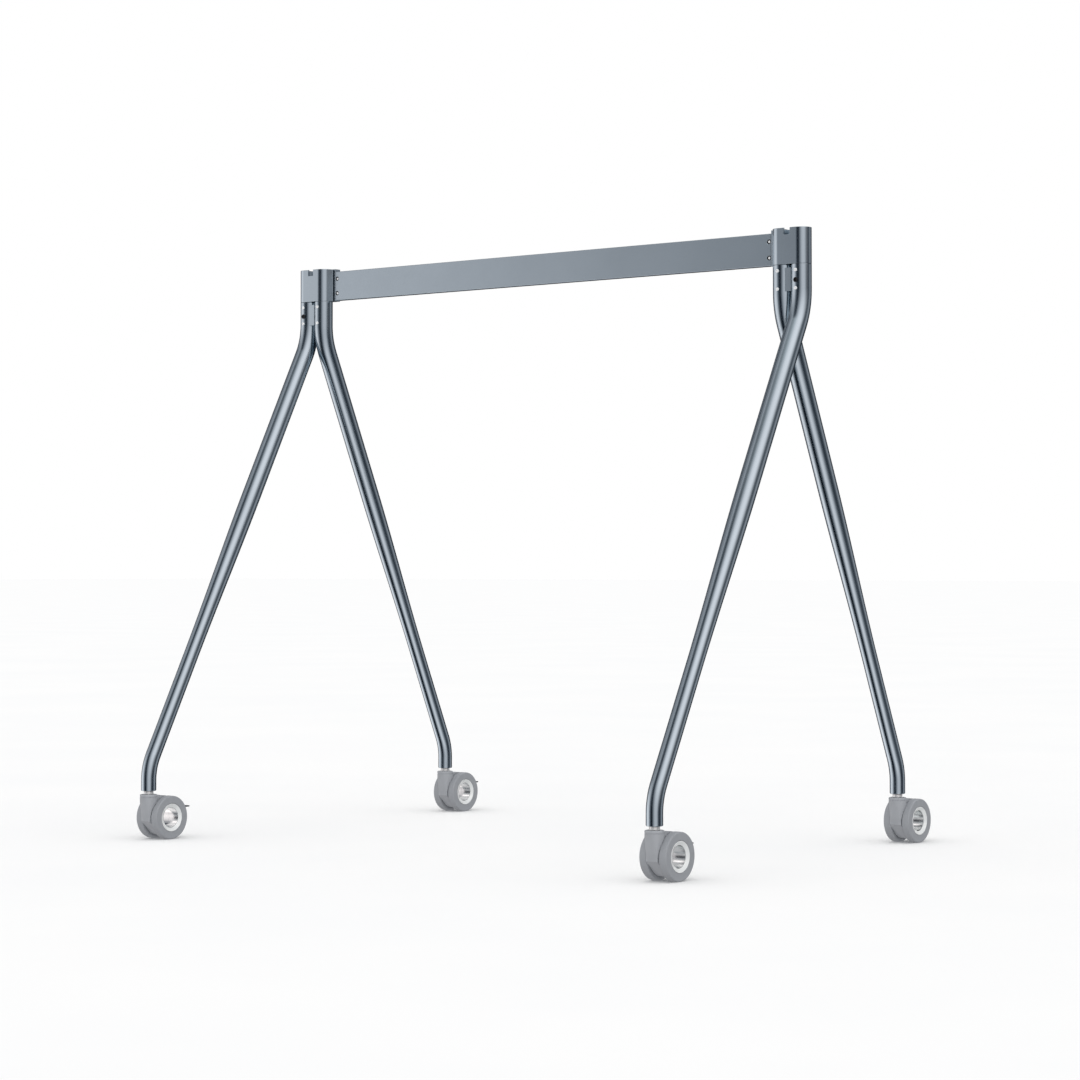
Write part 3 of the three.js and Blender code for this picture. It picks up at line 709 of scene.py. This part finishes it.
AZ, PITCH = math.radians(38.4647), math.radians(1.8429)
data = bpy.data.cameras.new("camera")
cam = bpy.data.objects.new("camera", data)
bpy.context.scene.collection.objects.link(cam)
cam.location = (4.08019, -5.14702, 0.62647)
forward = Vector((-math.sin(AZ) * math.cos(PITCH), math.cos(AZ) * math.cos(PITCH), math.sin(PITCH)))
cam.rotation_euler = forward.to_track_quat("-Z", "Y").to_euler()
data.sensor_width = 36
data.lens = 94.676
data.shift_y = -0.0584
data.clip_start, data.clip_end = 0.05, 400
bpy.context.scene.camera = cam

# ------------------------------------------------------------------ floor and light

def stage_floor():
    size = 120
    me = bpy.data.meshes.new("floor")
    me.from_pydata([(-size, -size, 0), (size, -size, 0), (size, size, 0), (-size, size, 0)], [], [(0, 1, 2, 3)])
    ob = bpy.data.objects.new("floor", me)
    bpy.context.scene.collection.objects.link(ob)
    g = Graph("floor_white")
    g.colour(g.ramp(g.noise(1.2, 3, 0.5), [(0.35, (0.885, 0.888, 0.892, 1)), (0.65, (0.9, 0.9, 0.9, 1))]))
    g.roughness(g.spread(g.noise(9, 3, 0.5), 0.75, 0.9))
    g.sockets(Specular_IOR_Level=0.0)
    me.materials.append(g.mat)
    ob.visible_glossy = False
    ob.visible_diffuse = False


stage_floor()

# The studio seen by glossy surfaces: soft boxes as a function of direction. Angles are degrees round the
# vertical, from the direction that faces the camera's side, positive to the right.
def grey(v):
    return tuple(lin(max(0, v + d)) / p for d, p in zip((-9, 0, 9), PAINT)) + (1,)


MID = [(-180, 6), (-152, 26), (-140, 108), (-126, 160), (-114, 214), (-100, 202), (-90, 192), (-82, 184), (-76, 152), (-71, 116), (-66, 98), (-56, 72), (-48, 20),
       (-41, 14), (-33, 38), (-24, 90), (-15, 128), (-6, 155), (6, 170), (18, 170), (28, 168), (38, 140), (47, 84), (56, 42), (68, 38), (80, 60), (92, 94),
       (104, 140), (114, 130), (128, 54), (145, 24), (180, 6)]
HIGH = [(-180, 150), (-150, 100), (-138, 48), (-126, 46), (-114, 120), (-102, 112), (-90, 152), (-78, 122), (-66, 74), (-56, 52), (-46, 40), (-36, 82), (-26, 130),
        (-14, 156), (0, 190), (12, 204), (24, 210), (36, 214), (48, 214), (58, 204), (67, 170), (77, 106), (88, 66), (110, 56), (145, 100), (180, 150)]
LOW = [(-180, 115), (-150, 140), (-130, 205), (-116, 225), (-104, 212), (-92, 158), (-80, 122), (-70, 38), (-60, 10), (-50, 14), (-40, 32), (-30, 82), (-18, 140),
       (-6, 180), (6, 198), (18, 192), (30, 170), (42, 124), (54, 98), (75, 80), (110, 60), (150, 100), (180, 115)]

world = bpy.data.worlds.new("studio")
bpy.context.scene.world = world
world.use_nodes = True
world.cycles.sampling_method = "NONE"
wt = world.node_tree
wt.nodes.clear()


def wnode(kind, **values):
    n = wt.nodes.new(kind)
    for k, v in values.items():
        setattr(n, k, v)
    return n


def wmath(op, a, b=None, c=None):
    n = wnode("ShaderNodeMath", operation=op)
    for i, v in enumerate((a, b, c)):
        if v is None:
            continue
        if isinstance(v, (int, float)):
            n.inputs[i].default_value = v
        else:
            wt.links.new(v, n.inputs[i])
    return n.outputs[0]


def wramp(fac, stops):
    r = wnode("ShaderNodeValToRGB")
    r.color_ramp.interpolation = "LINEAR"
    e = r.color_ramp.elements
    e[0].position, e[0].color = (stops[0][0] + 180) / 360, grey(stops[0][1])
    e[1].position, e[1].color = (stops[-1][0] + 180) / 360, grey(stops[-1][1])
    for a, v in stops[1:-1]:
        x = e.new((a + 180) / 360)
        x.color = grey(v)
    wt.links.new(fac, r.inputs[0])
    return r.outputs[0]


def wmix(fac, a, b):
    n = wnode("ShaderNodeMix", data_type="RGBA")
    wt.links.new(fac, n.inputs[0])
    wt.links.new(a, n.inputs[6])
    wt.links.new(b, n.inputs[7])
    return n.outputs[2]


direction = wnode("ShaderNodeTexCoord").outputs["Generated"]
sep = wnode("ShaderNodeSeparateXYZ")
wt.links.new(direction, sep.inputs[0])
sx_, sy_, sz_ = sep.outputs
towards = wmath("MULTIPLY_ADD", sx_, math.sin(AZ), wmath("MULTIPLY", sy_, -math.cos(AZ)))
across = wmath("MULTIPLY_ADD", sx_, math.cos(AZ), wmath("MULTIPLY", sy_, math.sin(AZ)))
turn = wmath("ARCTAN2", across, towards)
fac = wmath("MULTIPLY_ADD", turn, 1 / (2 * math.pi), 0.5)
height = wmath("ARCSINE", sz_)
up = wnode("ShaderNodeMapRange", interpolation_type="SMOOTHSTEP")
up.inputs[1].default_value, up.inputs[2].default_value = math.radians(-6), math.radians(40)
wt.links.new(height, up.inputs[0])
down = wnode("ShaderNodeMapRange", interpolation_type="SMOOTHSTEP")
down.inputs[1].default_value, down.inputs[2].default_value = math.radians(-6), math.radians(-38)
wt.links.new(height, down.inputs[0])
strips = wmix(down.outputs[0], wmix(up.outputs[0], wramp(fac, MID), wramp(fac, HIGH)), wramp(fac, LOW))
# a large overhead soft box
over = wnode("ShaderNodeMapRange", interpolation_type="SMOOTHSTEP")
over.inputs[1].default_value, over.inputs[2].default_value = math.radians(48), math.radians(66)
wt.links.new(height, over.inputs[0])
lid = wnode("ShaderNodeRGB")
lid.outputs[0].default_value = (1.25, 1.25, 1.25, 1)
strips = wmix(over.outputs[0], strips, lid.outputs[0])

rays = wnode("ShaderNodeLightPath")
studio = wnode("ShaderNodeBackground")
wt.links.new(strips, studio.inputs["Color"])
dome = wnode("ShaderNodeBackground")
domed = wnode("ShaderNodeMapRange", interpolation_type="SMOOTHSTEP")
domed.inputs[1].default_value, domed.inputs[2].default_value = -0.05, 0.08
domed.inputs[3].default_value, domed.inputs[4].default_value = 0.5, 0.90
wt.links.new(sz_, domed.inputs[0])
crown = wmath("MULTIPLY_ADD", wmath("MAXIMUM", sz_, 0.0), 0.30, domed.outputs[0])
lit = wmath("MAXIMUM", wmath("MULTIPLY_ADD", sy_, -0.24, wmath("MULTIPLY_ADD", sx_, 0.16, crown)), 0.05)
wt.links.new(lit, dome.inputs["Strength"])
dome.inputs["Color"].default_value = (1, 1, 1, 1)
plain = wnode("ShaderNodeBackground")
plain.inputs["Color"].default_value = (1, 1, 1, 1)
mix1 = wnode("ShaderNodeMixShader")
wt.links.new(rays.outputs["Is Diffuse Ray"], mix1.inputs[0])
wt.links.new(studio.outputs[0], mix1.inputs[1])
wt.links.new(dome.outputs[0], mix1.inputs[2])
mix2 = wnode("ShaderNodeMixShader")
wt.links.new(rays.outputs["Is Camera Ray"], mix2.inputs[0])
wt.links.new(mix1.outputs[0], mix2.inputs[1])
wt.links.new(plain.outputs[0], mix2.inputs[2])
wout = wnode("ShaderNodeOutputWorld")
wt.links.new(mix2.outputs[0], wout.inputs[0])

bpy.context.scene.view_settings.view_transform = "Standard"
bpy.context.scene.view_settings.look = "None"
